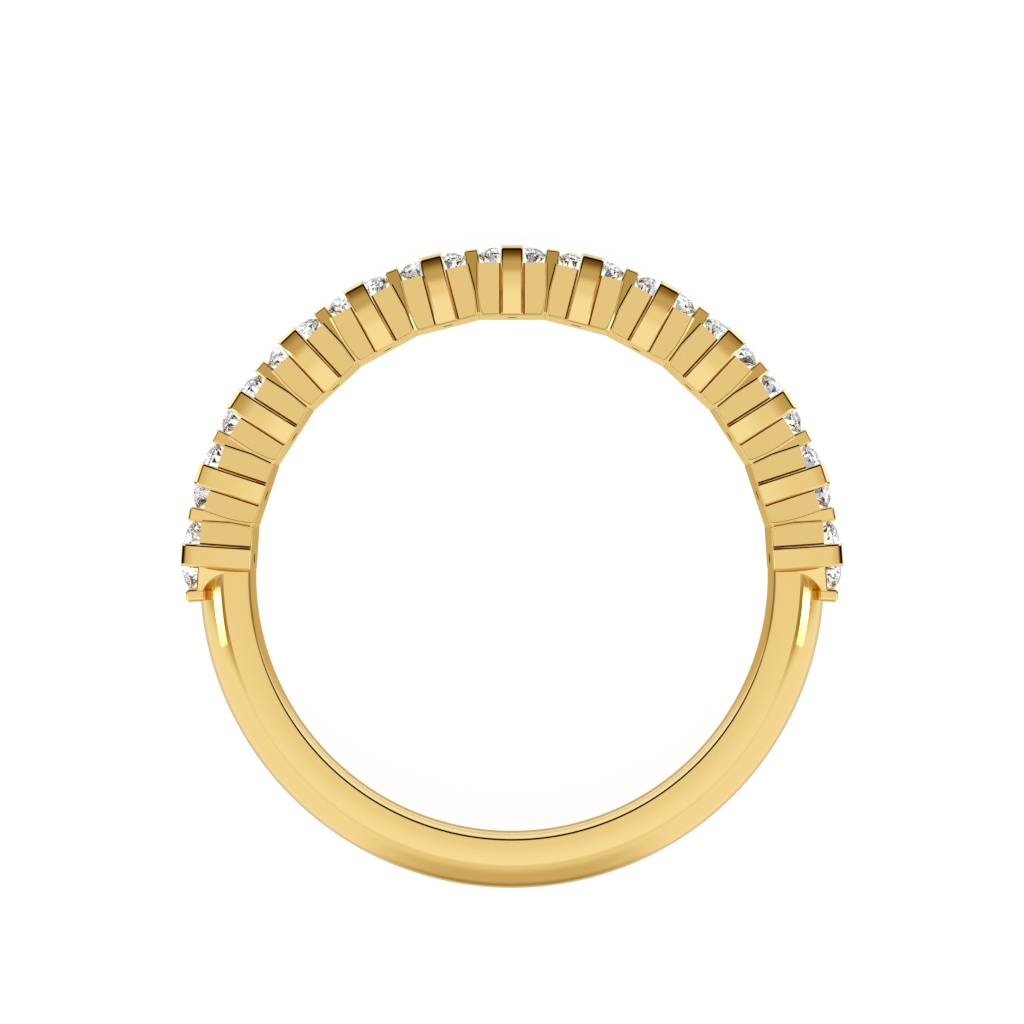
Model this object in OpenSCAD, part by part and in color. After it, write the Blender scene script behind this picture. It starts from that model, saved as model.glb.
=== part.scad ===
// A diamond band that lies on its side: a cast gold ring with a row of round stones.
// Z is the finger's axis, z = 0 is the surface that the ring lies on, and the row of
// stones is centred on the +Y side. Radii are measured from the finger's axis.

/* [Ring] */
// Diameter of the finger hole
finger_d = 17.35; // [16:0.05:20]
// Width of the shank and of the seats, along the finger
band_w = 2.6; // [2.4:0.05:3]
// Thickness of the shank, from the finger hole to its outer crest
shank_t = 1.78; // [1.6:0.01:2]
// Depth of the flat side of the shank, from the finger hole to its outer curve
side_flat = 0.87; // [0.7:0.01:1]

/* [Stones] */
// Number of stones in the row
stone_count = 13; // [5:2:15]
// Diameter of a stone at its girdle
stone_d = 2.26; // [2.1:0.01:2.3]
// Gap between the girdles of two neighbours, which a shared prong fills
stone_gap = 0.442; // [0.4:0.002:0.5]
// Height of the middle of the girdle above the finger hole
girdle_lift = 2.05; // [1.95:0.005:2.1]
// Thickness of the girdle
girdle_t = 0.08; // [0.05:0.01:0.1]
// Height of the crown, from the girdle to the table
crown_h = 0.205; // [0.18:0.005:0.25]
// Depth of the pavilion, from the girdle to its point
pavilion_h = 0.97; // [0.9:0.01:1]
// Diameter of the table across its corners
table_d = 1.56; // [1.4:0.01:1.6]
// Turn from each stone to the next about its own axis, as set by hand
stone_turn = 17; // [0:1:45]
// Clearance between a stone's girdle and the metal round it
stone_clear = 0.03; // [0.02:0.005:0.04]

/* [Seats] */
// Height of a seat's top above the finger hole
seat_h = 1.725; // [1.65:0.005:1.8]
// Height above the finger hole up to which neighbouring seats meet
seat_meet = 0.82; // [0.5:0.01:1]
// How far the seats' flat inner faces stand in from the finger hole's round wall
seat_flat_in = 0.015; // [0.01:0.005:0.03]
// Width of the hole behind each stone
light_hole_d = 0.36; // [0.3:0.02:0.6]
// Width of the fine groove where two seats meet
seam_w = 0.12; // [0.08:0.01:0.16]

/* [Wide bars] */
// Width of a bar, across the middle of its stone
bar_w = 0.76; // [0.6:0.01:0.9]
// How far a bar stands proud of the side of the band
bar_proud = 0.2; // [0.1:0.01:0.25]
// Height of a bar's tip above the finger hole
bar_h = 2.315; // [2.28:0.005:2.4]
// Length of a bar's face below its flat stretch, where it bows in towards its foot
bar_foot = 0.8; // [0.6:0.05:0.9]
// How far the face stands back at its foot
bar_foot_back = 0.06; // [0.04:0.01:0.1]
// Length of the flat stretch of a bar's face, which the ring lies on
bar_flat = 0.45; // [0.35:0.05:0.6]
// How far a bar's face leans in towards the stone at its tip
bar_lean = 0.25; // [0.15:0.01:0.3]
// Rounding of the tip's outer edge
bar_round = 0.28; // [0.2:0.01:0.3]
// How far the tip reaches in over the girdle
bar_grip = 0.26; // [0.2:0.01:0.3]

/* [Narrow prongs] */
// Width of a shared prong, along the row
prong_w = 0.45; // [0.44:0.01:0.5]
// Size of a shared prong along the finger, at its tip
prong_d = 0.86; // [0.7:0.02:1]
// Size of a shared prong along the finger, at its foot
prong_foot_d = 2.34; // [2:0.02:2.4]
// Height of a shared prong's tip above the finger hole
prong_h = 2.305; // [2.26:0.005:2.35]

/* [Row ends] */
// Width of the bar that closes the row at each end
end_w = 0.44; // [0.4:0.01:0.5]
// Height of the end bar's tip above the finger hole
end_h = 2.175; // [2.1:0.005:2.25]
// Height of the end bar's underside above the finger hole
end_lift = 1.515; // [1.45:0.005:1.58]
// Radius of the scoop under the end bar
scoop_r = 0.96; // [0.85:0.01:1.05]
// How far the scoop's middle lies beyond the middle of the end bar
scoop_out = 0.33; // [0.25:0.01:0.4]
// Height of the scoop's middle above the finger hole
scoop_lift = 0.73; // [0.65:0.01:0.8]

/* [Hidden] */
$fn = 96;
finger_r = finger_d / 2;
stone_r = stone_d / 2;
table_r = table_d / 2;
girdle_r = finger_r + girdle_lift;
facet_turn = 22.5;
star_r = (table_r * cos(facet_turn) + stone_r) / 2;
star_h = crown_h * (stone_r - star_r * cos(facet_turn)) / (stone_r - table_r);
low_r = stone_r / 4;
low_h = pavilion_h * (1 - low_r * cos(facet_turn) / stone_r);
mid_z = band_w / 2 + bar_proud;
pitch = 2 * atan((stone_r + stone_gap / 2) / girdle_r);
half_row = (stone_count - 1) / 2;
row_end = (half_row + 0.5) * pitch;
seat_in_r = finger_r - seat_flat_in;
seat_half_w = (finger_r + seat_meet) * sin(pitch / 2);
overlap = 0.5;
stone_name = [for (i = [1:stone_count]) str("stone_", i < 10 ? "0" : "", i)];

// Carries a shape to a place along the row, where X runs along the row, Y outward
// and Z along the finger. The angle is counted clockwise from the middle stone.
module along_row(angle) {
    rotate(-angle) children();
}

// The radius of a circle that meets a chord and a point that stands out from its middle.
function bow_radius(half_chord, rise) = (half_chord * half_chord + rise * rise) / (2 * rise);

// Half of the shank's section stands beside the axis: straight flat sides and a domed back.
module shank_section() {
    side_r = finger_r + side_flat;
    crest_r = finger_r + shank_t;
    dome_r = bow_radius(band_w / 2, crest_r - side_r);
    intersection() {
        translate([finger_r, -band_w / 2]) square([shank_t, band_w]);
        union() {
            translate([finger_r, -band_w / 2]) square([side_flat, band_w]);
            translate([crest_r - dome_r, 0]) circle(dome_r);
        }
    }
}

// The shank runs round the bottom of the ring and ends inside the last seats.
module shank() {
    sweep = 360 - 2 * half_row * pitch;
    translate([0, 0, mid_z])
        rotate(-90 - sweep / 2)
        rotate_extrude(angle = sweep, $fn = 180) shank_section();
}

// The seats and the end bars share one outline, seen along the finger.
module row_outline() {
    difference() {
        for (k = [-half_row:half_row])
            along_row(k * pitch)
            translate([-seat_half_w, seat_in_r])
            square([2 * seat_half_w, finger_r + seat_h - seat_in_r]);
        for (side = [-1, 1]) scoop(side);
    }
    for (side = [-1, 1])
        along_row(side * row_end)
        translate([-end_w / 2, finger_r + end_lift])
        square([end_w, end_h - end_lift]);
}

// The scoop's round edge runs from the end bar's underside to the shank.
module scoop(side) {
    along_row(side * row_end)
        translate([side * scoop_out, finger_r + scoop_lift])
        circle(scoop_r);
}

// Points on an arc round a centre, from one angle to another.
function arc(centre, r, from, to) =
    [for (i = [0:8]) centre + r * [cos(from + (to - from) * i / 8), sin(from + (to - from) * i / 8)]];

// A bar's section, across the row: it reaches from the finger hole to its tip, and in from
// its proud outer face to its grip on the stone. The face bows in towards both ends, and
// its upper end runs smoothly into the rounded tip.
module bar_section() {
    face = band_w / 2 + bar_proud;
    inner = stone_r - bar_grip;
    tip_r = finger_r + bar_h;
    flat_start = seat_in_r + bar_foot;
    bow_start = flat_start + bar_flat;
    foot_r = bow_radius(bar_foot, bar_foot_back);
    bow_r = bow_radius(tip_r - bow_start, bar_lean);
    round_up = tip_r - bar_round - bow_start;
    meet = asin(round_up / (bow_r - bar_round));
    round_middle = [face - bow_r + (bow_r - bar_round) * cos(meet), bow_start + round_up];
    polygon(concat(
        [[inner, tip_r], [inner, seat_in_r]],
        arc([face - foot_r, flat_start], foot_r, -asin(bar_foot / foot_r), 0),
        arc([face - bow_r, bow_start], bow_r, 0, meet),
        arc(round_middle, bar_round, meet + (90 - meet) / 8, 90)
    ));
}

// One bar on each side of the band holds the same stone.
module wide_bars() {
    for (side = [0, 1])
        translate([0, 0, mid_z])
        mirror([0, 0, side])
        translate([bar_w / 2, 0, 0])
        rotate([0, -90, 0])
        linear_extrude(bar_w)
        bar_section();
}

// A shared prong stands in the middle of the band, and its two faces lean out to its foot.
module shared_prong() {
    foot_r = finger_r + overlap;
    tip_r = finger_r + prong_h;
    translate([prong_w / 2, 0, mid_z])
        rotate([0, -90, 0])
        linear_extrude(prong_w)
        polygon([
            [-prong_foot_d / 2, foot_r],
            [prong_foot_d / 2, foot_r],
            [prong_d / 2, tip_r],
            [-prong_d / 2, tip_r]
        ]);
}

// The space that a stone takes, turned about its own axis: the outline through its
// corners, enlarged for the clearance, and the light hole behind it.
module stone_space() {
    grow = (stone_r + stone_clear) / stone_r;
    edge = girdle_t / 2;
    outline = [
        [0, -edge - pavilion_h],
        [low_r, -edge - low_h],
        [stone_r, -edge],
        [stone_r, edge],
        [star_r, edge + star_h],
        [table_r, edge + crown_h],
        [0, edge + crown_h]
    ];
    rotate([-90, 0, 0]) {
        translate([0, 0, girdle_r])
            rotate_extrude() polygon([for (place = outline) place * grow]);
        translate([0, 0, seat_in_r - overlap])
            cylinder(d = light_hole_d, h = girdle_r - low_h - seat_in_r + overlap);
    }
}

// Fine grooves mark where two seats meet, on both sides of the band.
module seam() {
    for (z = [-band_w / 2, band_w / 2])
        translate([0, seat_in_r - overlap, mid_z + z])
        rotate([0, 45, 0])
        translate([-seam_w / 2, 0, -seam_w / 2])
        cube([seam_w, seat_meet + 2 * overlap, seam_w]);
}

// The cast metal is one solid.
module band() {
    color("goldenrod")
    difference() {
        union() {
            shank();
            translate([0, 0, bar_proud]) linear_extrude(band_w) row_outline();
            for (k = [-half_row:half_row]) along_row(k * pitch) wide_bars();
            for (k = [0.5 - half_row:half_row - 0.5]) along_row(k * pitch) shared_prong();
        }
        for (k = [-half_row:half_row])
            along_row(k * pitch) translate([0, 0, mid_z]) stone_space();
        for (k = [0.5 - half_row:half_row - 0.5]) along_row(k * pitch) seam();
    }
}

// A corner of a stone: an angle about its axis, a radius and a height over its girdle.
function corner(angle, r, h) = [r * cos(angle), r * sin(angle), h];

// A round brilliant: table, stars, kites, upper and lower halves, girdle and mains.
// Corners come in rings of eight or sixteen, counted about the stone's axis.
module brilliant() {
    turn = facet_turn;
    edge = girdle_t / 2;
    table = [for (i = [0:7]) corner(2 * i * turn, table_r, edge + crown_h)];
    stars = [for (i = [0:7]) corner((2 * i + 1) * turn, star_r, edge + star_h)];
    upper = [for (i = [0:15]) corner(i * turn, stone_r, edge)];
    lower = [for (i = [0:15]) corner(i * turn, stone_r, -edge)];
    deeps = [for (i = [0:7]) corner((2 * i + 1) * turn, low_r, -edge - low_h)];
    point = [[0, 0, -edge - pavilion_h]];
    s = 8;
    u = 16;
    l = 32;
    d = 48;
    p = 56;
    faces = concat(
        [[for (i = [7:-1:0]) i]],
        [for (i = [0:7]) [i, (i + 1) % 8, s + i]],
        [for (i = [0:7]) [i, s + i, u + 2 * i, s + (i + 7) % 8]],
        [for (i = [0:7]) [s + i, u + 2 * i + 1, u + 2 * i]],
        [for (i = [0:7]) [s + i, u + (2 * i + 2) % 16, u + 2 * i + 1]],
        [for (i = [0:15]) [u + i, u + (i + 1) % 16, l + (i + 1) % 16, l + i]],
        [for (i = [0:7]) [d + i, l + 2 * i, l + 2 * i + 1]],
        [for (i = [0:7]) [d + i, l + 2 * i + 1, l + (2 * i + 2) % 16]],
        [for (i = [0:7]) [p, d + (i + 7) % 8, l + 2 * i, d + i]]
    );
    polyhedron(concat(table, stars, upper, lower, deeps, point), faces, convexity = 2);
}

// A stone of the row, counted from the -X end.
module stone(i) {
    color("aliceblue")
    along_row((i - half_row) * pitch)
        translate([0, girdle_r, mid_z])
        rotate([-90, 0, 0])
        rotate(i * stone_turn)
        brilliant();
}

band();
for (i = [0:stone_count - 1])
    stone(i);
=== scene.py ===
# %% [markdown]
# # A diamond band
# A gold ring lies on its side. Thirteen round stones run along its upper half, each held
# between two wide bars and two narrow prongs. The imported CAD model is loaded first. It
# stays as it is, and every piece that is made below takes the place of one of its nodes.

# %% The frame
from math import asin, atan, cos, degrees, pi, radians, sin, tan

import bmesh
import bpy
from mathutils import Matrix, Vector


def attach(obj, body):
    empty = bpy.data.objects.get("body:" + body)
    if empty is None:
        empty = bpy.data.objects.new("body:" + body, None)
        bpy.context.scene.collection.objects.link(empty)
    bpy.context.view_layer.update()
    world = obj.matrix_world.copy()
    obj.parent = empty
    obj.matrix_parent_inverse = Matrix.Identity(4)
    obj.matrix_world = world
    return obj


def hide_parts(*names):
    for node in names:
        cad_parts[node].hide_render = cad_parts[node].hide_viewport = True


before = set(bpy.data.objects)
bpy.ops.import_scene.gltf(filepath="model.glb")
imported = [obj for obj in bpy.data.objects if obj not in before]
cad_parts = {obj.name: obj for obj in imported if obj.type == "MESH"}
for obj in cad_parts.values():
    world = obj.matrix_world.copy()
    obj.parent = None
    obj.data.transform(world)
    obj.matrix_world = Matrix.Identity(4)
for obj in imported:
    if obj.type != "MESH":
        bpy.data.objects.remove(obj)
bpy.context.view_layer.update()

# %% [markdown]
# ## Sizes
# The modelling is done in millimetres, because the ring is so small that Blender's merge
# distances would join edges that are apart. Each finished piece is scaled to metres at the
# end. The finger's axis is Z, and places along the row are counted clockwise from the
# middle stone, which is the furthest towards +Y. Each piece of the row is made where it
# would be on the middle stone, and is turned to its place as a copy.

# %% Sizes in millimetres
MILLIMETRE = 0.001
FINGER_R = 8.655
BAND_W = 2.6
MIDDLE_Z = 1.5
STONE_COUNT = 13
STONE_R = 1.13
HALF_STONE_GAP = 0.221
GIRDLE_R = 10.725
PITCH = 2 * atan((STONE_R + HALF_STONE_GAP) / GIRDLE_R)
HALF_ROW = (STONE_COUNT - 1) // 2
print("pitch in degrees", round(degrees(PITCH), 3))

# %% [markdown]
# ## Tools for the bench
# An operator works on all that is selected, so each step starts with nothing selected.
# These helpers do that, and pick the edges or corners of a piece in edit mode by a test on
# their place.

# %% Taking a piece in hand, and picking its parts
def take(piece):
    bpy.ops.object.select_all(action="DESELECT")
    piece.select_set(True)
    bpy.context.view_layer.objects.active = piece


def settle(name):
    piece = bpy.context.object
    piece.name = name
    bpy.ops.object.transform_apply(location=True, rotation=True, scale=True)
    return piece


def edit(piece, kind="FACE"):
    take(piece)
    bpy.ops.object.mode_set(mode="EDIT")
    bpy.ops.mesh.select_mode(type=kind)
    bpy.ops.mesh.select_all(action="SELECT")


def done():
    bpy.ops.object.mode_set(mode="OBJECT")


def pick(piece, kind, test):
    bpy.ops.mesh.select_mode(type=kind)
    bpy.ops.mesh.select_all(action="DESELECT")
    shape = bmesh.from_edit_mesh(piece.data)
    parts = shape.verts if kind == "VERT" else shape.edges
    for part in parts:
        corners = [part.co] if kind == "VERT" else [corner.co for corner in part.verts]
        if all(test(corner) for corner in corners):
            part.select = True
    shape.select_flush_mode()
    bmesh.update_edit_mesh(piece.data)


# %% [markdown]
# What repeats along the row is modelled once and copied. Linked copies share one mesh, and
# a turn can't be put into a shared mesh, so each copy gets a mesh of its own. That way
# every piece stays at the origin, unturned, as the CAD pieces do.

# %% Copies along the row
def copy_of(piece, name, place):
    made = piece.copy()
    made.data = piece.data.copy()
    made.name = name
    bpy.context.scene.collection.objects.link(made)
    made.matrix_world = place
    take(made)
    bpy.ops.object.transform_apply(location=True, rotation=True, scale=True)
    return made


def copy_along(piece, name, step, flip=False):
    turn = Matrix.Rotation(-step * PITCH, 4, "Z")
    if flip:
        lift = Matrix.Translation((0, 0, MIDDLE_Z))
        turn = turn @ lift @ Matrix.Rotation(pi, 4, "Y") @ lift.inverted()
    return copy_of(piece, name, turn)


# %% [markdown]
# A goldsmith draws a section first and then gives it depth. The same is done here: a
# corner is pulled from point to point along the outline, the loop of edges is filled, and
# the face is drawn out. Every corner is at a known place then, where a shape that is
# pushed and smoothed into place would only come near it.

# %% Cutting, drawing and rounding
CUT_WITHIN = 0.00001
TOUCHING = 0.0001


def cut(place, normal):
    bpy.ops.mesh.select_all(action="SELECT")
    bpy.ops.mesh.bisect(
        plane_co=place,
        plane_no=normal,
        use_fill=True,
        clear_outer=True,
        threshold=CUT_WITHIN,
    )


def arc(middle, radius, start, end, steps):
    turn = (end - start) / steps
    angles = [start + step * turn for step in range(steps + 1)]
    return [(middle[0] + radius * cos(a), middle[1] + radius * sin(a)) for a in angles]


def outline(name, points, place):
    bpy.ops.mesh.primitive_plane_add(size=1, location=place(*points[0]))
    piece = settle(name)
    edit(piece, "VERT")
    bpy.ops.mesh.merge(type="CENTER")
    for last, point in zip(points, points[1:]):
        step = Vector(place(*point)) - Vector(place(*last))
        bpy.ops.mesh.extrude_region_move(TRANSFORM_OT_translate={"value": step})
    bpy.ops.mesh.select_all(action="SELECT")
    bpy.ops.mesh.edge_face_add()
    return piece


def draw_out(way):
    bpy.ops.mesh.select_mode(type="FACE")
    bpy.ops.mesh.extrude_region_move(TRANSFORM_OT_translate={"value": way})


def close_shape():
    bpy.ops.mesh.select_mode(type="VERT")
    bpy.ops.mesh.select_all(action="SELECT")
    bpy.ops.mesh.remove_doubles(threshold=TOUCHING)
    bpy.ops.mesh.normals_make_consistent(inside=False)


def bevel(width, steps):
    bpy.ops.mesh.bevel(offset=width, segments=steps, affect="EDGES", clamp_overlap=False)


def soften(width, steps, angle=30):
    bpy.ops.mesh.select_mode(type="EDGE")
    bpy.ops.mesh.select_all(action="DESELECT")
    bpy.ops.mesh.edges_select_sharp(sharpness=radians(angle))
    bevel(width, steps)


# %% [markdown]
# ## The shank
# A shank is cast, or drawn as a wire with this section and bent round a mandrel. The
# section has nearly flat sides and a domed back, and its inner corners are rounded for
# comfort. A ring from the Add menu is round in section, so the section is drawn instead.
# Half of it goes from the finger to the crest in five arcs, and the other half is its
# mirror image. An arc is given by its middle, radius, first angle, last angle and steps.

# %% The shank's section
SIDE_R = 9.545
CREST_R = 10.455
SIDE_INSET = 0.012
FLAT_MIDDLE_R = 9.45
FLAT_BOW = 12.4
COMFORT_BOW = 34.2
COMFORT_TURN = 0.035
DOME_GAP = 0.006
half_w = BAND_W / 2 - SIDE_INSET
dome_r = (half_w**2 + (CREST_R - SIDE_R) ** 2) / (2 * (CREST_R - SIDE_R))
dome_start = asin(half_w / dome_r)
finger_side = ((FINGER_R + COMFORT_BOW, 0), COMFORT_BOW, pi, pi - COMFORT_TURN, 4)
finger_edge = ((8.726, 1.1952), 0.05, radians(178), radians(125), 5)
side_edge = ((8.7565, 1.2278), 0.04, radians(122), radians(93), 4)
flat_side = ((FLAT_MIDDLE_R, half_w - FLAT_BOW), FLAT_BOW, radians(93), radians(89.6), 5)
dome = ((CREST_R - dome_r, 0), dome_r, dome_start - DOME_GAP, 0, 22)
half = arc(*finger_side) + arc(*finger_edge)[1:] + arc(*side_edge)
half += arc(*flat_side)[1:] + arc(*dome)
section = half + [(radius, -height) for radius, height in half[-2:0:-1]]
spin_start = pi / 2 + HALF_ROW * PITCH


def at_spin_start(radius, height):
    return (radius * cos(spin_start), radius * sin(spin_start), MIDDLE_Z + height)


shank = outline("shank", section, at_spin_start)
print("corners of the section", len(section))

# %% [markdown]
# The wire is bent round the mandrel from one end of the row to the other. It could also
# follow a curve, but Spin turns the section itself, so the finger hole is truly round. It
# can leave the faces pointing inwards, so they are turned outwards after it.

# %% The shank, spun round
SPIN_STEPS = 156
sweep = 2 * pi - 2 * HALF_ROW * PITCH
bpy.ops.mesh.select_mode(type="FACE")
bpy.ops.mesh.select_all(action="SELECT")
bpy.ops.mesh.spin(steps=SPIN_STEPS, angle=-sweep, center=(0, 0, 0), axis=(0, 0, 1))
close_shape()
done()
print("shank faces", len(shank.data.polygons))

# %% [markdown]
# ## The seats
# Each stone sits in a block of its own. Its inner face is flat, which gives the finger hole
# its facets, and its sides meet the neighbours' sides. One long strip could be bent into
# the whole row, but the real facets are plain flats, so a single block is made and copied.
# It is cut at the two planes between the neighbours.

# %% A block, and its cut at a seam
SEAT_HALF_W = 1.19
SEAT_IN_R = 8.66
SEAT_TOP_R = 10.4
SEAT_OVERLAP = 0.006
half_pitch = PITCH / 2


def block(name):
    bpy.ops.mesh.primitive_cube_add(
        size=1,
        location=(0, (SEAT_IN_R + SEAT_TOP_R) / 2, MIDDLE_Z),
        scale=(2 * SEAT_HALF_W, SEAT_TOP_R - SEAT_IN_R, BAND_W),
    )
    return settle(name)


def cut_at_seam(side):
    outward = Vector((side * cos(half_pitch), -sin(half_pitch), 0))
    cut(outward * SEAT_OVERLAP, outward)


seat = block("seat")
print("box of the block", [round(size, 3) for size in seat.dimensions])

# %% [markdown]
# The edges at a seam are chamfered with a file, so that a fine valley is left wherever two
# seats meet, and towards the finger the edges are rounded a little for comfort. Bevelling
# every sharp edge would round the stone's side too, so the chamfers are cut by planes, and
# only the edges on the finger's side are picked for a bevel.

# %% A seat
SEAM_CHAMFER_W = 0.05
SEAM_CHAMFER_LEAN = radians(35)
FINGER_ROUND = 0.04


def chamfer_seam(side):
    along_seam = Vector((side * cos(half_pitch), -sin(half_pitch), 0))
    along_gap = Vector((side, 0, 0))
    for face in (-1, 1):
        lift = Vector((0, 0, face * cos(SEAM_CHAMFER_LEAN)))
        top = Vector((0, 0, MIDDLE_Z + face * BAND_W / 2))
        cut(along_seam * -SEAM_CHAMFER_W + top, along_seam * sin(SEAM_CHAMFER_LEAN) + lift)
        wall = along_gap * (SEAT_HALF_W - SEAM_CHAMFER_W)
        cut(wall + top, along_gap * sin(SEAM_CHAMFER_LEAN) + lift)


def round_finger_edges(piece, wall_y):
    near_face = BAND_W / 4
    pick(piece, "EDGE", lambda co: co.y < wall_y + TOUCHING and abs(co.z - MIDDLE_Z) > near_face)
    bevel(FINGER_ROUND, 5)
    close_shape()


edit(seat)
for side in (-1, 1):
    cut_at_seam(side)
    chamfer_seam(side)
close_shape()
round_finger_edges(seat, SEAT_IN_R)
done()
print("seat faces", len(seat.data.polygons))

# %% [markdown]
# Pieces are melted together or cut out of each other as whole solids. Blender can do this
# with one modifier for each piece, but a modifier that reads a collection does it for all
# the pieces at once, and the manifold solver leaves a closed solid.

# %% Melting together and cutting out
def combine(piece, others, operation):
    group = bpy.data.collections.new("operands")
    for other in others:
        group.objects.link(other)
    take(piece)
    step = piece.modifiers.new(operation, "BOOLEAN")
    step.operation = operation
    step.operand_type = "COLLECTION"
    step.collection = group
    step.solver = "MANIFOLD"
    bpy.ops.object.modifier_apply(modifier=step.name)
    for other in others:
        bpy.data.objects.remove(other)
    bpy.data.collections.remove(group)


# %% [markdown]
# On both faces of the ring each seat is sunk a little beside its bar, as two flat panels
# with a slim rim. A panel narrows to its foot, where the rim grows wider at the seam. An
# inset keeps the rim equally wide all round, so the panel's outline is drawn instead: each
# row below is a distance from the finger's axis, and the rim's width there. The cutter's
# lower edges are rounded, which leaves a small fillet round the panel.

# %% The room of a sunk panel
PANEL_DEPTH = 0.045
PANEL_FILLET = 0.026
PANEL_FOOT = 8.7
PANEL_TOP = 10.6
PANEL_EDGE = (
    (PANEL_TOP, 0.215),
    (9.93, 0.115),
    (9.55, 0.074),
    (9.3, 0.068),
    (8.98, 0.074),
    (8.86, 0.09),
    (8.78, 0.118),
    (8.735, 0.14),
)
BAR_HALF_W = 0.38
BESIDE_BAR = BAR_HALF_W + 0.001
CUTTER_OUT = 0.3


def from_seam(distance, inset):
    x = distance * sin(half_pitch) - inset * cos(half_pitch)
    y = distance * cos(half_pitch) + inset * sin(half_pitch)
    return (x, y)


def panel_room(side, face):
    floor_z = MIDDLE_Z + face * (BAND_W / 2 - PANEL_DEPTH)
    points = [from_seam(*edge) for edge in PANEL_EDGE]
    points += [(BESIDE_BAR, PANEL_FOOT), (BESIDE_BAR, points[0][1])]
    room = outline("panel_room", points, lambda x, y: (side * x, y, floor_z))
    draw_out((0, 0, face * CUTTER_OUT))
    close_shape()
    pick(room, "EDGE", lambda co: abs(co.z - floor_z) < TOUCHING)
    bevel(PANEL_FILLET, 3)
    close_shape()
    done()
    return room


print("rim at the panel's foot", PANEL_EDGE[-1])

# %% [markdown]
# Beside the bar the graver has left a deep, narrow slot, which shows as a dark line. A
# black stripe in the material would look painted on from the side, so the slot is cut: a
# wedge is drawn and is drawn out along the bar.

# %% The sunk panels and the slots
SLOT_DEPTH = 0.23
SLOT_W = 0.045


def bar_slot(side, face):
    wedge = (
        (BESIDE_BAR, BAND_W / 2 + CUTTER_OUT),
        (BESIDE_BAR, BAND_W / 2 - SLOT_DEPTH),
        (BESIDE_BAR + SLOT_W, BAND_W / 2 - PANEL_DEPTH),
        (BESIDE_BAR + SLOT_W, BAND_W / 2 + CUTTER_OUT),
    )
    slot = outline("bar_slot", wedge, lambda x, z: (side * x, PANEL_FOOT, MIDDLE_Z + face * z))
    draw_out((0, PANEL_TOP - PANEL_FOOT, 0))
    close_shape()
    done()
    return slot


def sink_panels(piece, sides):
    corners = [(side, face) for side in sides for face in (-1, 1)]
    combine(piece, [panel_room(*corner) for corner in corners], "DIFFERENCE")
    combine(piece, [bar_slot(*corner) for corner in corners], "DIFFERENCE")


sink_panels(seat, (-1, 1))
print("seat faces with panels", len(seat.data.polygons))

# %% [markdown]
# Below a seam the valley is filled, so that the finger's side is closed. The seats could
# stay unchamfered there, but a chamfer has to run out somewhere. A small wedge that lies
# over the seam is simpler, with the same rounded edge towards the finger as the seats.

# %% The foot of a seam
SEAM_FOOT_TOP = 8.83
SEAM_FOOT_IN = 8.735
FOOT_TOP_HALF_W = 0.05
FOOT_IN_HALF_W = 0.1
FOOT_INSET = 0.006
foot_points = [
    (-FOOT_TOP_HALF_W, SEAM_FOOT_TOP),
    (FOOT_TOP_HALF_W, SEAM_FOOT_TOP),
    (FOOT_IN_HALF_W, SEAM_FOOT_IN),
    (-FOOT_IN_HALF_W, SEAM_FOOT_IN),
]
foot_h = BAND_W / 2 - FOOT_INSET
seam_foot = outline("seam_foot", foot_points, lambda x, y: (x, y, MIDDLE_Z - foot_h))
draw_out((0, 0, 2 * foot_h))
close_shape()
round_finger_edges(seam_foot, SEAM_FOOT_IN)
done()
print("seam foot faces", len(seam_foot.data.polygons))

# %% [markdown]
# ## The row's ends
# The last seat at each end is scooped out under the bar that closes the row, and only a
# slim wing of it is left beside the last wide bar. The wing leans a little. Its outline is
# cut with booleans first, and the edges are rounded after that, because a rounded edge that
# is cut through later would end in a sharp corner.

# %% The last seat, before its scoop
WING_LEAN = radians(3)
last_seat = block("last_seat")
edit(last_seat)
cut_at_seam(-1)
for face in (-1, 1):
    top_of_bar = (BAR_HALF_W, 0, MIDDLE_Z + face * BAND_W / 2)
    cut(top_of_bar, (sin(WING_LEAN), 0, face * cos(WING_LEAN)))
done()
print("last seat faces, uncut", len(last_seat.data.polygons))

# %% [markdown]
# The scoop is the mark of a round burr that has gone right across the band, so its cutter
# is a cylinder. Its place is given as if the seam stood upright, and it is turned there
# with the seam. A second, drawn cutter takes away what is under the wing. The last seat
# has its panels on one side only, towards its neighbour.

# %% The scoop and the wing
SCOOP_R = 0.96
SCOOP_PLACE = (0.33, 9.405)
WING_WIDE = (0.531, 9.512)
WING_SLIM = (0.35, 8.6)
WING_CUT = 2
WING_CUT_LOW_Z = -1
WING_CUT_H = 5
SAME_PLANE = radians(0.5)
END_ROUND = 0.06
bpy.ops.mesh.primitive_cylinder_add(
    vertices=120,
    radius=SCOOP_R,
    depth=2 * BAND_W,
    location=(*SCOOP_PLACE, MIDDLE_Z),
)
scoop = settle("scoop")
scoop.matrix_world = Matrix.Rotation(-half_pitch, 4, "Z")
take(scoop)
bpy.ops.object.transform_apply(rotation=True)
slope = (WING_WIDE[0] - WING_SLIM[0]) / (WING_WIDE[1] - WING_SLIM[1])
below_wing = [
    WING_WIDE,
    (WING_WIDE[0] - WING_CUT * slope, WING_WIDE[1] - WING_CUT),
    (WING_CUT, WING_WIDE[1] - WING_CUT),
    (WING_CUT, WING_WIDE[1]),
]
under_wing = outline("under_wing", below_wing, lambda x, y: (x, y, WING_CUT_LOW_Z))
draw_out((0, 0, WING_CUT_H))
close_shape()
done()
combine(last_seat, [scoop, under_wing], "DIFFERENCE")
edit(last_seat)
bpy.ops.mesh.dissolve_limited(angle_limit=SAME_PLANE)
soften(END_ROUND, 8)
close_shape()
done()
sink_panels(last_seat, (-1,))
print("last seat faces", len(last_seat.data.polygons))

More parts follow.
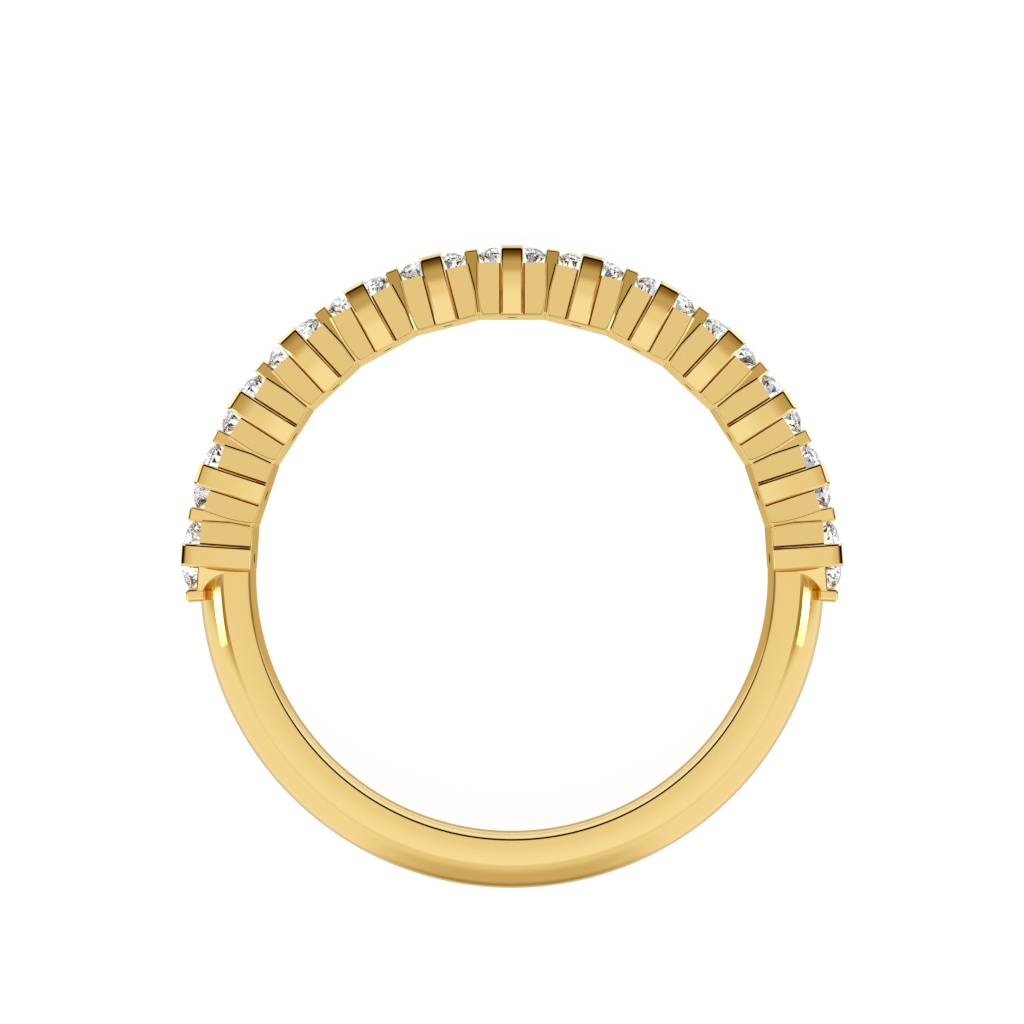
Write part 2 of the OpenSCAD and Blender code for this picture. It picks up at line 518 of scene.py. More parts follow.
# %% [markdown]
# A short bar lies across the band at each end and closes the row behind the last stone. It
# is a filed piece of square wire with well rounded edges, so a box with a wide bevel on
# all its edges gives it.

# %% The bar that closes the row
END_HALF_W = 0.22
END_LOW_R = 10.19
END_TOP_R = 10.85
END_H = 2.2
END_BAR_ROUND = 0.13
bpy.ops.mesh.primitive_cube_add(
    size=1,
    location=(0, (END_LOW_R + END_TOP_R) / 2, MIDDLE_Z),
    scale=(2 * END_HALF_W, END_TOP_R - END_LOW_R, END_H),
)
end_bar = settle("end_bar")
edit(end_bar)
soften(END_BAR_ROUND, 8)
close_shape()
done()
print("end bar faces", len(end_bar.data.polygons))

# %% [markdown]
# Beside the last bar a burr has left a slim groove, shaped like a lens, where the seat
# runs out into the shank. A burr is a turning ball, so the groove is cut with a stretched
# ball, once on each face of the ring.

# %% The groove beside the last bar
GROOVE_PLACE = (0.38, 9.3)
GROOVE_OUT = 1.33
GROOVE_HALF = (0.085, 0.9, 0.15)
grooves = []
for face in (1, -1):
    bpy.ops.mesh.primitive_uv_sphere_add(
        segments=48,
        ring_count=32,
        radius=1,
        location=(*GROOVE_PLACE, MIDDLE_Z + face * GROOVE_OUT),
        scale=GROOVE_HALF,
    )
    grooves.append(settle("groove"))
print("grooves", len(grooves))

# %% [markdown]
# ## The wide bars
# A bar crosses the middle of each stone on both sides of the band, from the finger hole to
# the stone's crown, over which its tip leans. Seen from the side it has a foot that leans
# back, a straight stretch, a bow, and a rounded tip. This profile is worked out first, as
# the height of the bar's face at each distance from the finger's axis.

# %% The bar's profile
BAR_TIP_R = 10.99
BAR_FACE_Z = 3.0
BAR_INNER_Z = 2.37
BOW_START = 9.91
BOW_R = 2.458
BOW_END = radians(21.55)
TIP_ROUND = 0.28
FOOT_ROUND = 0.07
FACE_LEANS = ((9.91, 0), (9.57, -4.5), (9.23, -6), (8.73, -9))
LEAN_STEPS = 3
face_line = [(BOW_START, BAR_FACE_Z)]
for (outer_r, outer_lean), (inner_r, inner_lean) in zip(FACE_LEANS, FACE_LEANS[1:]):
    for step in range(LEAN_STEPS):
        share = (step + 0.5) / LEAN_STEPS
        lean = radians(outer_lean + share * (inner_lean - outer_lean))
        way = (inner_r - outer_r) / LEAN_STEPS
        face_line.append((face_line[-1][0] + way, face_line[-1][1] - way * tan(lean)))
foot_r, foot_z = face_line[-1]
foot_lean = radians(90 - FACE_LEANS[-1][1])
foot_middle = (foot_r - FOOT_ROUND * cos(foot_lean), foot_z - FOOT_ROUND * sin(foot_lean))
profile = arc(foot_middle, FOOT_ROUND, pi, foot_lean, 6)[:-1] + face_line[::-1]
profile += arc((BOW_START, BAR_FACE_Z - BOW_R), BOW_R, pi / 2, pi / 2 - BOW_END, 6)[1:]
tip_middle_z = BAR_FACE_Z - BOW_R + (BOW_R - TIP_ROUND) * cos(BOW_END)
profile += arc((BAR_TIP_R - TIP_ROUND, tip_middle_z), TIP_ROUND, pi / 2 - BOW_END, 0, 9)[1:]
print("foot of the bar", [round(value, 3) for value in profile[0]], "tip", profile[-1])

# %% [markdown]
# The long edges of a bar's face end in a slim chamfer of two steps, which catches the light
# as a fine line. A bevel modifier would give the tip the same chamfer, and the real tip is
# crisper. So the cross-section is drawn with its chamfers and drawn out in small steps. At
# each step its height above the bar's inner side is changed to follow the profile.

# %% A wide bar
BAR_EDGE = ((0.292, 0.0), (0.298, 0.0016), (0.337, 0.0232), (BAR_HALF_W, 0.0642))
BAR_END_ROUND = 0.03
right_half = [(edge_x, BAR_FACE_Z - drop) for edge_x, drop in BAR_EDGE]
right_half += [(BAR_HALF_W, BAR_INNER_Z)]
cross = [(-x, z) for x, z in right_half[::-1]] + right_half
bar = outline("bar", cross, lambda x, z: (x, profile[0][0], z))
height = BAR_FACE_Z - BAR_INNER_Z
last_r = profile[0][0]
for radius, face_z in profile:
    if radius != last_r:
        draw_out((0, radius - last_r, 0))
    share = (face_z - BAR_INNER_Z) / height
    bpy.ops.transform.resize(value=(1, 1, share), center_override=(0, 0, BAR_INNER_Z))
    height = face_z - BAR_INNER_Z
    last_r = radius
close_shape()
soften(BAR_END_ROUND, 3, angle=40)
close_shape()
done()
print("bar faces", len(bar.data.polygons), "box", [round(side, 3) for side in bar.dimensions])

# %% [markdown]
# ## The narrow prongs
# Two neighbouring stones share one slim prong, which stands between them in the middle of
# the band and widens to its foot. A box is narrowed at its top, which keeps the prong's
# sides flat. Then its top is rounded more than its sides, as a setter's file and the
# polishing leave it.

# %% A shared prong
PRONG_W = 0.48
PRONG_FOOT = (8.9, 1.06)
PRONG_TIP = (10.98, 0.54)
PRONG_ROUND = 0.08
bpy.ops.mesh.primitive_cube_add(
    size=1,
    location=(0, (PRONG_FOOT[0] + PRONG_TIP[0]) / 2, MIDDLE_Z),
    scale=(PRONG_W, PRONG_TIP[0] - PRONG_FOOT[0], 2 * PRONG_FOOT[1]),
)
prong = settle("prong")
edit(prong)
pick(prong, "VERT", lambda co: co.y > PRONG_TIP[0] - TOUCHING)
bpy.ops.transform.resize(
    value=(1, 1, PRONG_TIP[1] / PRONG_FOOT[1]),
    center_override=(0, 0, MIDDLE_Z),
)
pick(prong, "EDGE", lambda co: co.y > PRONG_TIP[0] - TOUCHING)
bevel(PRONG_ROUND, 6)
soften(PRONG_ROUND, 5, angle=50)
close_shape()
done()
print("prong faces", len(prong.data.polygons))

# %% [markdown]
# ## The room for a stone
# A setter cuts a seat for the girdle into the bars and the prongs, and drills a small hole
# behind the stone that lets light through. A copy of the stone could be the cutter, but
# each stone is turned differently, so the cutter is round like work from a lathe and fits
# them all. It follows a brilliant's measures with a hair's clearance, as rings of
# (radius, height).

# %% A brilliant's measures, and the rings of its room
STONE_CLEAR = 0.03
GIRDLE_T = 0.08
CROWN_H = 0.205
PAVILION_H = 0.97
TABLE_R = 0.78
LIGHT_HOLE_R = 0.18
HOLE_REACH = 2.5
facet_turn = radians(22.5)
star_r = (TABLE_R * cos(facet_turn) + STONE_R) / 2
star_h = CROWN_H * (STONE_R - star_r * cos(facet_turn)) / (STONE_R - TABLE_R)
low_r = STONE_R / 4
low_h = PAVILION_H * (1 - low_r * cos(facet_turn) / STONE_R)
edge_h = GIRDLE_T / 2
grow = (STONE_R + STONE_CLEAR) / STONE_R
hole_share = LIGHT_HOLE_R / grow / low_r
hole_h = -edge_h - PAVILION_H + hole_share * (PAVILION_H - low_h)
rings = [
    (LIGHT_HOLE_R, -HOLE_REACH),
    (LIGHT_HOLE_R, hole_h * grow),
    (low_r * grow, (-edge_h - low_h) * grow),
    (STONE_R * grow, -edge_h * grow),
    (STONE_R * grow, edge_h * grow),
    (star_r * grow, (edge_h + star_h) * grow),
    (TABLE_R * grow, (edge_h + CROWN_H) * grow),
]
print("rings of the room", [(round(ring[0], 3), round(ring[1], 3)) for ring in rings])

# %% [markdown]
# A disc is drawn out from ring to ring, and is made wider or narrower at each of them.
# Spin could turn the same outline, but it would leave a seam and a point to close.

# %% The room for a stone
bpy.ops.mesh.primitive_circle_add(
    vertices=64,
    radius=1,
    fill_type="NGON",
    location=(0, GIRDLE_R + rings[0][1], MIDDLE_Z),
    rotation=(-pi / 2, 0, 0),
)
room = settle("room")
edit(room)
bpy.ops.transform.resize(
    value=(rings[0][0], 1, rings[0][0]),
    center_override=(0, 0, MIDDLE_Z),
)
for below, ring in zip(rings, rings[1:]):
    draw_out((0, ring[1] - below[1], 0))
    share = ring[0] / below[0]
    bpy.ops.transform.resize(value=(share, 1, share), center_override=(0, 0, MIDDLE_Z))
close_shape()
done()
print("room faces", len(room.data.polygons))

# %% [markdown]
# ## The gold, joined and drilled
# The real ring is cast, or soldered so well that it is one piece of metal. Pieces that only
# stand in each other would show seams, so they are melted into one with boolean unions, and
# the rooms are cut out last, through all that reaches over a stone.

# %% The gold in one piece
places = [index - HALF_ROW for index in range(STONE_COUNT)]
seams = [place + 0.5 for place in places[:-1]]
ends = ((False, HALF_ROW), (True, -HALF_ROW))
seats = [copy_along(seat, "seat_copy", place) for place in places[1:-1]]
seats += [copy_along(last_seat, "last_seat_copy", place, flip) for flip, place in ends]
seats += [copy_along(seam_foot, "seam_foot_copy", seam) for seam in seams]
metal = shank
metal.name = "gold_band"
combine(metal, seats, "UNION")
lenses = [copy_along(lens, "lens", place, flip) for flip, place in ends for lens in grooves]
combine(metal, lenses, "DIFFERENCE")
uprights = [copy_along(bar, "bar_copy", place, flip) for place in places for flip in (False, True)]
uprights += [copy_along(prong, "prong_copy", seam) for seam in seams]
uprights += [copy_along(end_bar, "end_bar_copy", side * (HALF_ROW + 0.5)) for side in (-1, 1)]
combine(metal, uprights, "UNION")
print("joined faces", len(metal.data.polygons))
combine(metal, [copy_along(room, "room_copy", place) for place in places], "DIFFERENCE")
for pattern in (seat, last_seat, seam_foot, bar, prong, end_bar, room, *grooves):
    bpy.data.objects.remove(pattern)
print("gold faces", len(metal.data.polygons))

# %% [markdown]
# Flat faces and rounded edges meet smoothly on polished metal. Smooth shading all over
# would make the flats look swollen. It stops at angles over 14 degrees here, and the
# normals are weighted by the faces' areas, so that a large flat face stays flat up to its
# rounded edge.

# %% Smooth gold
SMOOTH_BELOW = radians(14)
FLAT_FACE_WEIGHT = 80
take(metal)
bpy.ops.object.shade_smooth_by_angle(angle=SMOOTH_BELOW)
weight = metal.modifiers.new("flat faces stay flat", "WEIGHTED_NORMAL")
weight.keep_sharp = True
weight.weight = FLAT_FACE_WEIGHT
bpy.ops.object.modifier_apply(modifier=weight.name)


def to_metres(piece):
    take(piece)
    piece.scale = (MILLIMETRE, MILLIMETRE, MILLIMETRE)
    bpy.ops.object.transform_apply(location=True, rotation=True, scale=True)


to_metres(metal)
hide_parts("band")
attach(metal, "root")
print("gold corners", len(metal.data.vertices))

# %% [markdown]
# ## The stones
# A cutter grinds one flat facet after another on a round blank. The facets' corners could
# be typed in as a mesh, but then a slip bends a facet unseen. So the same is done here as
# by the cutter: a cylinder is bisected by the plane of each facet, and its outside is
# cleared away. A plane is given by three of the corners that the facet has.

# %% The planes of the facets
def corner(step, radius, height):
    angle = step * facet_turn
    return Vector((radius * cos(angle), radius * sin(angle), height))


def facet_planes():
    top = edge_h + CROWN_H
    star_top = edge_h + star_h
    low_top = -edge_h - low_h
    yield [corner(step, TABLE_R, top) for step in (0, 4, 8)]
    for step in range(0, 16, 2):
        table_corner = corner(step, TABLE_R, top)
        star_corner = corner(step + 1, star_r, star_top)
        next_star = corner(step + 3, star_r, star_top)
        yield [table_corner, corner(step + 2, TABLE_R, top), star_corner]
        yield [star_corner, next_star, corner(step + 2, STONE_R, edge_h)]
        low_corner = corner(step + 1, low_r, low_top)
        next_low = corner(step + 3, low_r, low_top)
        for rim in (step, step + 1):
            yield [star_corner, corner(rim, STONE_R, edge_h), corner(rim + 1, STONE_R, edge_h)]
            yield [low_corner, corner(rim, STONE_R, -edge_h), corner(rim + 1, STONE_R, -edge_h)]
        yield [low_corner, next_low, corner(step + 2, STONE_R, -edge_h)]


print("facets", len(list(facet_planes())))

# %% [markdown]
# The blank is longer than the stone. Each plane clears away what lies outside of it, and
# the girdle is what is left of the cylinder. Where two cuts have left a line across a flat
# facet, the line is dissolved, so that a facet is one face.

# %% A brilliant, cut facet by facet
BLANK_SIDES = 96
BLANK_L = 3
ONE_FACET = radians(0.2)
bpy.ops.mesh.primitive_cylinder_add(
    vertices=BLANK_SIDES,
    radius=STONE_R,
    depth=BLANK_L,
    location=(0, 0, 0),
)
brilliant = settle("brilliant")
edit(brilliant)
for first, second, third in facet_planes():
    outward = (second - first).cross(third - first).normalized()
    if outward.dot(first) < 0:
        outward.negate()
    cut(first, outward)
close_shape()
bpy.ops.mesh.select_mode(type="FACE")
bpy.ops.mesh.select_all(action="SELECT")
bpy.ops.mesh.dissolve_limited(angle_limit=ONE_FACET)
done()
print("faces of a stone", len(brilliant.data.polygons))

# %% [markdown]
# A setter drops each stone into its seat as it comes, so no two are turned alike, and they
# sparkle differently. Every copy is turned a little further about its own axis than the
# one before it, and is stood up and moved along the row.

# %% The thirteen stones
STONE_TURN = 17
stand = Matrix.Translation((0, GIRDLE_R, MIDDLE_Z)) @ Matrix.Rotation(-pi / 2, 4, "X")
stones = []
for index, place in enumerate(places):
    turn = Matrix.Rotation(radians(index * STONE_TURN), 4, "Z")
    along = Matrix.Rotation(-place * PITCH, 4, "Z")
    stone = copy_of(brilliant, f"diamond_{index + 1:02d}", along @ stand @ turn)
    to_metres(stone)
    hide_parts(f"stone_{index + 1:02d}")
    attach(stone, "root")
    stones.append(stone)
bpy.data.objects.remove(brilliant)
print("stones", len(stones))

# %% [markdown]
# ## Finishes
# Shader maths is written as plain expressions. The class below wraps a socket, and each
# operator on it adds the Math node that does the sum. One method adds any other node. This
# is easier to read and to change than a long list of nodes and links.

# %% A socket to reckon with
class Wire:
    def __init__(self, tree, socket=None):
        self.tree = tree
        self.socket = socket

    def node(self, kind, settings=None, values=None, output=0):
        made = self.tree.nodes.new(kind)
        for name, value in (settings or {}).items():
            setattr(made, name, value)
        for name, value in (values or {}).items():
            if isinstance(value, Wire):
                self.tree.links.new(value.socket, made.inputs[name])
            else:
                made.inputs[name].default_value = value
        return Wire(self.tree, made.outputs[output] if made.outputs else None)

    def also(self, output):
        return Wire(self.tree, self.socket.node.outputs[output])

    def maths(self, operation, *values):
        numbers = dict(enumerate(values))
        return self.node("ShaderNodeMath", {"operation": operation}, numbers)

    def __add__(self, other):
        return self.maths("ADD", self, other)

    def __sub__(self, other):
        return self.maths("SUBTRACT", self, other)

    def __rsub__(self, other):
        return self.maths("SUBTRACT", other, self)

    def __mul__(self, other):
        return self.maths("MULTIPLY", self, other)

    def __truediv__(self, other):
        return self.maths("DIVIDE", self, other)

    def __pow__(self, other):
        return self.maths("POWER", self, other)

    __radd__ = __add__
    __rmul__ = __mul__

    def between(self, low, high):
        span = {"From Min": low, "From Max": high, "Value": self}
        return self.node("ShaderNodeMapRange", {"interpolation_type": "SMOOTHSTEP"}, span)

    def towards(self, other, share):
        return self + (other - self) * share

    def tint(self, share, first, second):
        factor, first_colour, second_colour, mixed_colour = 0, 6, 7, 2
        sockets = {factor: share, first_colour: first, second_colour: second}
        return self.node("ShaderNodeMix", {"data_type": "RGBA"}, sockets, mixed_colour)


def blank(owner):
    owner.use_nodes = True
    owner.node_tree.nodes.clear()
    return Wire(owner.node_tree)


def finish_with(pieces, material):
    for piece in pieces:
        piece.data.materials.clear()
        piece.data.materials.append(material)
    print(material.name, "nodes", len(material.node_tree.nodes), "pieces", len(pieces))


# %% [markdown]
# Fourteen carat gold is polished with a wheel that runs round the ring, so the finest
# lines that it leaves run round it too. They hardly show, but they stretch the highlights
# a little. A noise in three flat directions would run straight across the ring, so this
# one is read at the angle round the ring, at the distance from the axis and at the height,
# which makes its lines follow the wheel.

# %% The lines of the polishing wheel
IN_MILLIMETRES = 1000
LINES_ALONG = 4
LINES_ACROSS = 14
gold = bpy.data.materials.new("polished_gold")
start = blank(gold)
place = start.node("ShaderNodeTexCoord", output="Object")
parts = start.node("ShaderNodeSeparateXYZ", values={0: place})
x = parts.also("X") * IN_MILLIMETRES
y = parts.also("Y") * IN_MILLIMETRES
z = parts.also("Z") * IN_MILLIMETRES
radius = (x * x + y * y) ** 0.5
around = start.node(
    "ShaderNodeCombineXYZ",
    values={
        "X": x / radius * LINES_ALONG,
        "Y": y / radius * LINES_ALONG,
        "Z": radius * LINES_ACROSS,
    },
)
lines = start.node(
    "ShaderNodeTexNoise",
    {"noise_dimensions": "4D"},
    {"Vector": around, "W": z * LINES_ACROSS, "Scale": 1.0, "Detail": 3.0, "Roughness": 0.6},
    "Fac",
)
print("nodes of the lines", len(gold.node_tree.nodes))

# %% [markdown]
# The sunk panels beside the bars get a painted shade: their gold is a little darker and stands in
# for the shade in their recess. A second material would need faces of its own, and every boolean
# shuffles them. The panels all lie at one depth below the ring's faces, so the depth alone tells
# the shader where they are.

# %% Polished gold
GOLD = (0.83, 0.59, 0.22, 1)
# The second gold is a painted shade, darker gold for the shade in the sunk panels.
PANEL_GOLD_IN_PAINTED_SHADE = (0.783, 0.556, 0.207, 1)
LEAST_ROUGH = 0.05
ROUGHER_BY = 0.04
LINE_DEPTH = 0.00002
panel_z = BAND_W / 2 - PANEL_DEPTH
panel_starts = [panel_z + step for step in (-0.02, -0.01)]
panel_ends = [panel_z + step for step in (0.005, 0.02)]
depth = start.maths("ABSOLUTE", z - MIDDLE_Z)
# The panels' depth marks where the painted shade goes.
painted_panel_shade = depth.between(*panel_starts) * (1 - depth.between(*panel_ends))
colour = start.tint(painted_panel_shade, GOLD, PANEL_GOLD_IN_PAINTED_SHADE)
roughness = lines.between(0.35, 0.75) * ROUGHER_BY + LEAST_ROUGH
bump = start.node(
    "ShaderNodeBump",
    values={"Strength": 0.02, "Distance": LINE_DEPTH, "Height": lines},
)
surface = start.node(
    "ShaderNodeBsdfPrincipled",
    values={"Base Color": colour, "Metallic": 1.0, "Roughness": roughness, "Normal": bump},
)
start.node("ShaderNodeOutputMaterial", values={"Surface": surface})
finish_with([metal], gold)

# %% [markdown]
# Diamond is clear, and bends light more than any other stone that is used in rings. Its
# polish is hardly ever perfect, so the roughness wanders a little from place to place. The
# stones in the picture show white and grey, and none of the gold around them. A white
# lining in each seat could do this, but the ring has no such piece. So the gold is hidden
# from rays that have passed through a stone, and they see the studio instead.

# %% Diamond
DIAMOND_IOR = 2.417
HAZE = 0.008
diamond = bpy.data.materials.new("diamond")
start = blank(diamond)
place = start.node("ShaderNodeTexCoord", output="Object")
haze = start.node(
    "ShaderNodeTexNoise",
    values={"Vector": place, "Scale": 2500.0, "Detail": 2.0},
    output="Fac",
)
surface = start.node(
    "ShaderNodeBsdfPrincipled",
    values={
        "Base Color": (1, 1, 1, 1),
        "Roughness": haze.between(0.45, 0.7) * HAZE,
        "IOR": DIAMOND_IOR,
        "Transmission Weight": 1.0,
    },
)
start.node("ShaderNodeOutputMaterial", values={"Surface": surface})
finish_with(stones, diamond)
metal.visible_transmission = False

# %% [markdown]
# ## The studio
# Polished gold shows its surroundings more than its own surface, so the studio is a part of
# its look. It could be built of cards and lamps, but large cards so near a small ring make
# a grainy picture. The world's background does it without grain: its brightness follows
# the direction of a ray. East is the picture's right, north is its top, tilt is the angle
# from straight up in degrees, and a share of 1 to the north means due north.

# %% The direction of a ray
world = bpy.data.worlds.new("studio")
bpy.context.scene.world = world
start = blank(world)
direction = start.node("ShaderNodeTexCoord", output="Generated")
parts = start.node("ShaderNodeSeparateXYZ", values={0: direction})
east = parts.also("X")
north = parts.also("Y")
up = parts.also("Z")
south = 0 - north
tilt = start.maths("ARCCOSINE", up) * (180 / pi)
level = (east * east + north * north) ** 0.5
north_share = north / start.maths("MAXIMUM", level, 0.001)
print("nodes of a direction", len(world.node_tree.nodes))

# %% [markdown]
# A large soft box hangs over the ring and leans to the south. It fades out to the north,
# and the dark that is left there is what blackens the bars' tips. White card stands below
# the ring in the picture, to the south. It lights the faces that lean that way, and takes
# over from the soft box a little south of straight up. Each pair of numbers below says
# where a change in the light starts and ends.

# %% The soft box and the card
BOX_UP = 0.75
BOX_NORTH = 0.66
BOX_FADE = (0, 0.38)
NORTH_LOSS = 0.4
NORTH_LOSS_SPAN = (0.12, 0.34)
SOUTH_GAIN = 0.2
SOUTH_GAIN_SPAN = (0, 0.12)
SOUTH_LOSS = 0.1
SOUTH_LOSS_SPAN = (0.3, 0.7)
CARD_LOW = 0.57
CARD_GAIN = 0.55
CARD_LEAN = 0.2
CARD_GAIN_SPAN = (0.03, 0.25)
CARD_SOUTH_SPAN = (0.02, 0.07)
CARD_TILT_SPAN = (28, 42)
overhead = (BOX_UP * up - BOX_NORTH * north).between(*BOX_FADE)
overhead = (1 - NORTH_LOSS * north.between(*NORTH_LOSS_SPAN)) * overhead
gain = SOUTH_GAIN * south.between(*SOUTH_GAIN_SPAN)
loss = SOUTH_LOSS * south.between(*SOUTH_LOSS_SPAN)
overhead = overhead * (1 + gain - loss)
card = CARD_LOW + CARD_GAIN * (south - CARD_LEAN * up).between(*CARD_GAIN_SPAN)
on_card = south.between(*CARD_SOUTH_SPAN) * tilt.between(*CARD_TILT_SPAN)
light = overhead.towards(card, on_card)
print("nodes with the box and the card", len(world.node_tree.nodes))

# %% [markdown]
# The room is darker at both sides, where the rounded edges of the bars look, so that they
# are drawn by darker lines. A bright card stands beyond the stones, low in the north, and
# is mirrored by all that faces away from the finger.

# %% The sides and the card in the north
SIDE_LOSS = 0.5
SIDE_SPAN = (0.14, 0.24)
SIDE_TILT_STARTS = (34, 60)
SIDE_TILT_ENDS = (76, 86)
BEYOND = 1.7
BEYOND_LOSS = 0.6
BEYOND_SPAN = (0.1, 0.34)
BEYOND_TILT_SPAN = (76, 93)
BEYOND_LOSS_SPAN = (0.8, 0.97)
at_side = 1 - start.maths("ABSOLUTE", south).between(*SIDE_SPAN)
half_up = tilt.between(*SIDE_TILT_STARTS) * (1 - tilt.between(*SIDE_TILT_ENDS))
light = light * (1 - SIDE_LOSS * at_side * half_up)
beyond = north_share.between(*BEYOND_SPAN) * tilt.between(*BEYOND_TILT_SPAN)
beyond = beyond * (BEYOND - BEYOND_LOSS * north_share.between(*BEYOND_LOSS_SPAN))
light = start.maths("MAXIMUM", light, beyond)
print("nodes with the card in the north", len(world.node_tree.nodes))

# %% [markdown]
# Towards the south the light falls in two steps, high up and below the ring, which gives
# the shank's lowest part its darker back. A lamp that is simply turned down would darken
# the sides as well, so the shade is kept to what is nearly due south. What lies straight
# below is even again, because it is the table that the ring is on.

# %% The shade in the south
HIGH_SHADE = 0.4
HIGH_SHADE_SPAN = (36, 84)
LOW_SHADE = 0.5
LOW_SHADE_SPAN = (104, 148)
DUE_SOUTH_SPAN = (0.848, 0.996)
TABLE_LIGHT = 0.75
TABLE_SPAN = (125, 150)
shade = HIGH_SHADE * tilt.between(*HIGH_SHADE_SPAN) + LOW_SHADE * tilt.between(*LOW_SHADE_SPAN)
light = light * (1 - (0 - north_share).between(*DUE_SOUTH_SPAN) * shade)
light = light.towards(TABLE_LIGHT, tilt.between(*TABLE_SPAN))
print("nodes with the shade", len(world.node_tree.nodes))

# %% [markdown]
# The dim parts of a jeweller's studio are lit by light that has already met gold, so they
# are a deeper yellow, and the lamps are paler. Coloured cards all round would do this too.
# It is simpler to let the colour of the light follow its brightness: the dimmer it is, the
# less blue it has.

# %% The colour of the light
dim = start.maths("MINIMUM", light, 1)
bright = start.maths("MAXIMUM", light, 1)
on_gold = start.node(
    "ShaderNodeCombineColor",
    values={
        "Red": dim**0.84 * bright**0.65,
        "Green": dim**1.1 * bright,
        "Blue": dim**1.85 * bright**1.65,
    },
)
print("nodes with the colour", len(world.node_tree.nodes))

# %% [markdown]
# The finger hole's wall is seen at a grazing angle and mirrors what lies almost straight
# below. It shows bands of cream, honey and amber, with a thin darker line. Cards for such
# narrow bands would have to be placed to a hair, so the bands are given by the tilt.

# %% The light on the finger hole's wall
CREAM = (0.98, 0.93, 0.62, 1)
HONEY = (0.872, 0.715, 0.343, 1)
AMBER = (0.634, 0.438, 0.143, 1)
CREAM_SPAN = (0.1, 0.55)
LINE_STARTS = (172.3, 172.8)
LINE_ENDS = (173.2, 173.7)
LINE_SHARE = 0.8
HONEY_SPAN = (0.035, 0.065)
STRAIGHT_BELOW = (174.6, 175.6)
WALL_SPAN = (154, 166)
wall_light = start.tint(north_share.between(*CREAM_SPAN), AMBER, CREAM)
wall_line = tilt.between(*LINE_STARTS) * (1 - tilt.between(*LINE_ENDS))
wall_light = start.tint(wall_line * LINE_SHARE, wall_light, AMBER)
below = start.tint(south.between(*HONEY_SPAN), AMBER, HONEY)
wall_light = start.tint(tilt.between(*STRAIGHT_BELOW), wall_light, below)
on_gold = start.tint(tilt.between(*WALL_SPAN), on_gold, wall_light)
print("nodes with the wall's light", len(world.node_tree.nodes))

# %% [markdown]
# Inside the stones, rays are split up by the facets and show the studio in small patches.
# Flags and gaps between the lamps give them white, grey and dark patches with a little
# blue. A noise on the direction stands for them. For each colour, its light in the dark
# patches comes first, and then two steps as (gain, start, end) on the noise. The camera
# itself sees plain white.

# %% What the stones and the camera see
STONE_LIGHT = {
    "Red": (0.03, (0.47, 0.38, 0.42), (0.75, 0.46, 0.5)),
    "Green": (0.03, (0.49, 0.377, 0.417), (0.73, 0.457, 0.497)),
    "Blue": (0.06, (0.54, 0.372, 0.412), (0.58, 0.45, 0.49)),
}
WHITE = (1, 1, 1, 1)
flags = start.node(
    "ShaderNodeTexNoise",
    values={"Vector": direction, "Scale": 3.5, "Detail": 1.0, "Roughness": 0.5},
    output="Fac",
)


def patches(patch_light, steps):
    for gain, low, high in steps:
        patch_light = patch_light + gain * flags.between(low, high)
    return patch_light


channels = {name: patches(dark, steps) for name, (dark, *steps) in STONE_LIGHT.items()}
in_stone = start.node("ShaderNodeCombineColor", values=channels)
path = start.node("ShaderNodeLightPath")
seen = start.tint(path.also("Is Transmission Ray"), on_gold, in_stone)
seen = start.tint(path.also("Is Camera Ray"), seen, WHITE)
background = start.node("ShaderNodeBackground", values={"Color": seen, "Strength": 1.0})
start.node("ShaderNodeOutputWorld", values={"Surface": background})
print("nodes of the studio", len(world.node_tree.nodes))

# %% [markdown]
# Two slim light boxes stand at the ring's sides and draw a white streak on the shank below
# each end of the row. In the background they would be endlessly far away, and the streak
# would end at the wrong places, so they are area lights at a real distance. Each box is
# made of four panes of different strength, because its light fades at both ends. A pane is
# (top, bottom, strength), in metres towards the north.

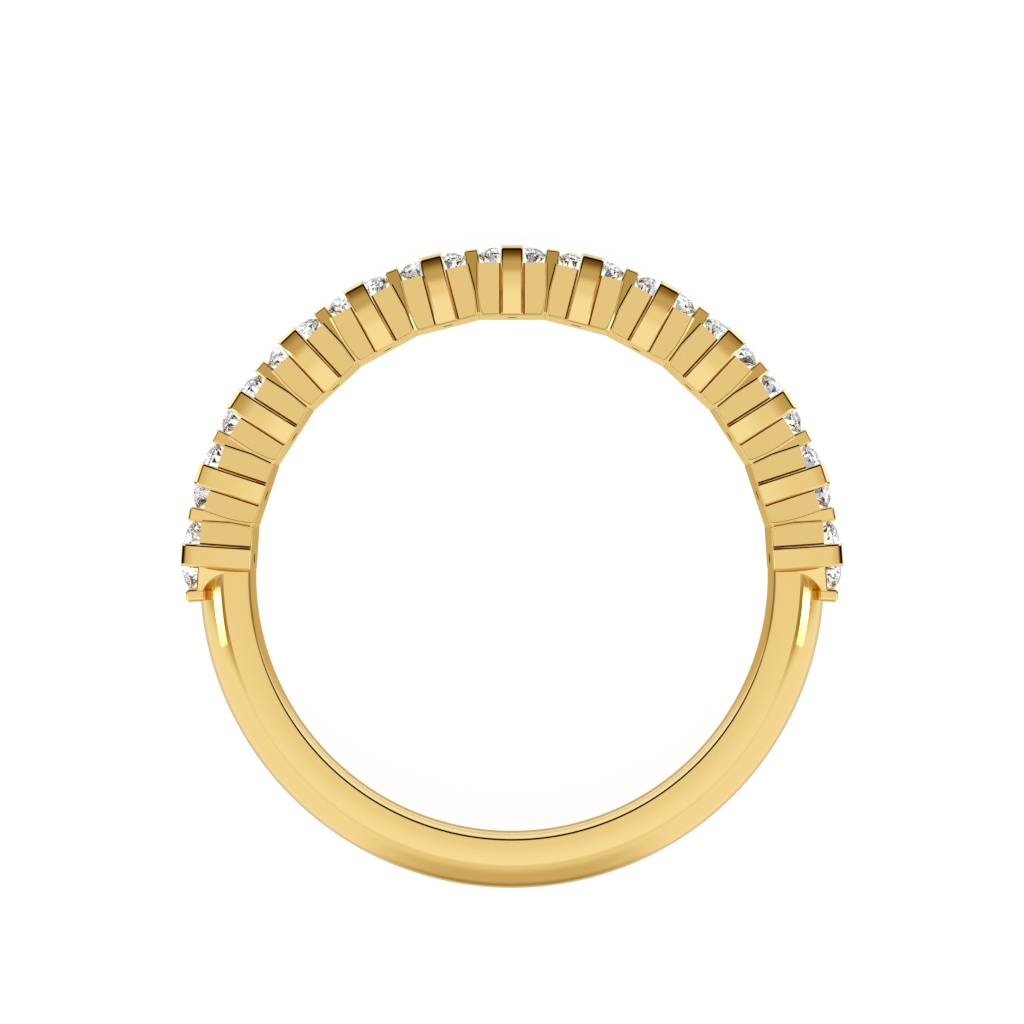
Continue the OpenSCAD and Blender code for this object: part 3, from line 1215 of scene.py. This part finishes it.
# %% Two slim light boxes
LIGHT_BOX_X = 0.06
LIGHT_BOX_Z = 0.0245
LIGHT_BOX_H = 0.027
LIGHT_BOX_COLOUR = (0.6, 0.75, 1.0)
LIGHT_PANES = (
    (-0.0034, -0.0048, 1.7),
    (-0.0048, -0.0105, 4.0),
    (-0.0105, -0.013, 2.4),
    (-0.013, -0.0155, 1.4),
)
panes = [(side, *pane) for side in (-1, 1) for pane in LIGHT_PANES]
for side, top_y, low_y, strength in panes:
    place = (side * LIGHT_BOX_X, (top_y + low_y) / 2, LIGHT_BOX_Z)
    bpy.ops.object.light_add(type="AREA", location=place, rotation=(0, side * pi / 2, 0))
    lamp = bpy.context.object
    lamp.data.shape = "RECTANGLE"
    lamp.data.size = LIGHT_BOX_H
    lamp.data.size_y = top_y - low_y
    lamp.data.energy = strength * pi * LIGHT_BOX_H * (top_y - low_y)
    lamp.data.color = LIGHT_BOX_COLOUR
    lamp.visible_diffuse = False
    lamp.visible_transmission = False
    lamp.visible_camera = False
print("panes of the light boxes", len(panes))

# %% [markdown]
# The ring lies on a sheet of white card that is lit so brightly that it shows hardly any
# shadow. Lamps of that strength would wash the gold out, so the card glows by itself, and
# the small rest of its brightness comes from the studio. The gold and the stones don't
# mirror it, because the background already stands for the table.

# %% The floor
FLOOR_SIZE = 3
FLOOR_Z = -0.00001
FLOOR_GREY = (0.11, 0.11, 0.13, 1)
FLOOR_GLOW = 0.94
bpy.ops.mesh.primitive_plane_add(size=FLOOR_SIZE, location=(0, 0, FLOOR_Z))
floor = settle("floor")
paper = bpy.data.materials.new("white_card")
start = blank(paper)
surface = start.node(
    "ShaderNodeBsdfPrincipled",
    values={
        "Base Color": FLOOR_GREY,
        "Roughness": 0.9,
        "Emission Color": WHITE,
        "Emission Strength": FLOOR_GLOW,
    },
)
start.node("ShaderNodeOutputMaterial", values={"Surface": surface})
finish_with([floor], paper)
floor.visible_glossy = False
floor.visible_transmission = False

# %% [markdown]
# The camera looks straight down, along the finger's axis, from about 100 mm. From so near,
# the finger hole's far rim looks smaller than its near one, and a part of the wall shows
# between them, as in the picture. The bounces are limited to what a stone needs, because
# each further one costs time and shows nothing more.

# %% The camera
CAMERA_PLACE = (0, 0.002142, 0.1028)
LENS = 106.2
SENSOR_W = 36
bpy.ops.object.camera_add(location=CAMERA_PLACE, rotation=(0, 0, 0))
camera = bpy.context.object
camera.name = "camera"
camera.data.lens = LENS
camera.data.sensor_width = SENSOR_W
camera.data.clip_start = 0.001
camera.data.clip_end = 10
bpy.context.scene.camera = camera
bpy.context.scene.view_settings.view_transform = "Standard"
bpy.context.scene.cycles.max_bounces = 16
bpy.context.scene.cycles.transmission_bounces = 14
bpy.context.scene.cycles.glossy_bounces = 12
print("angle of view in degrees", round(degrees(camera.data.angle), 2))
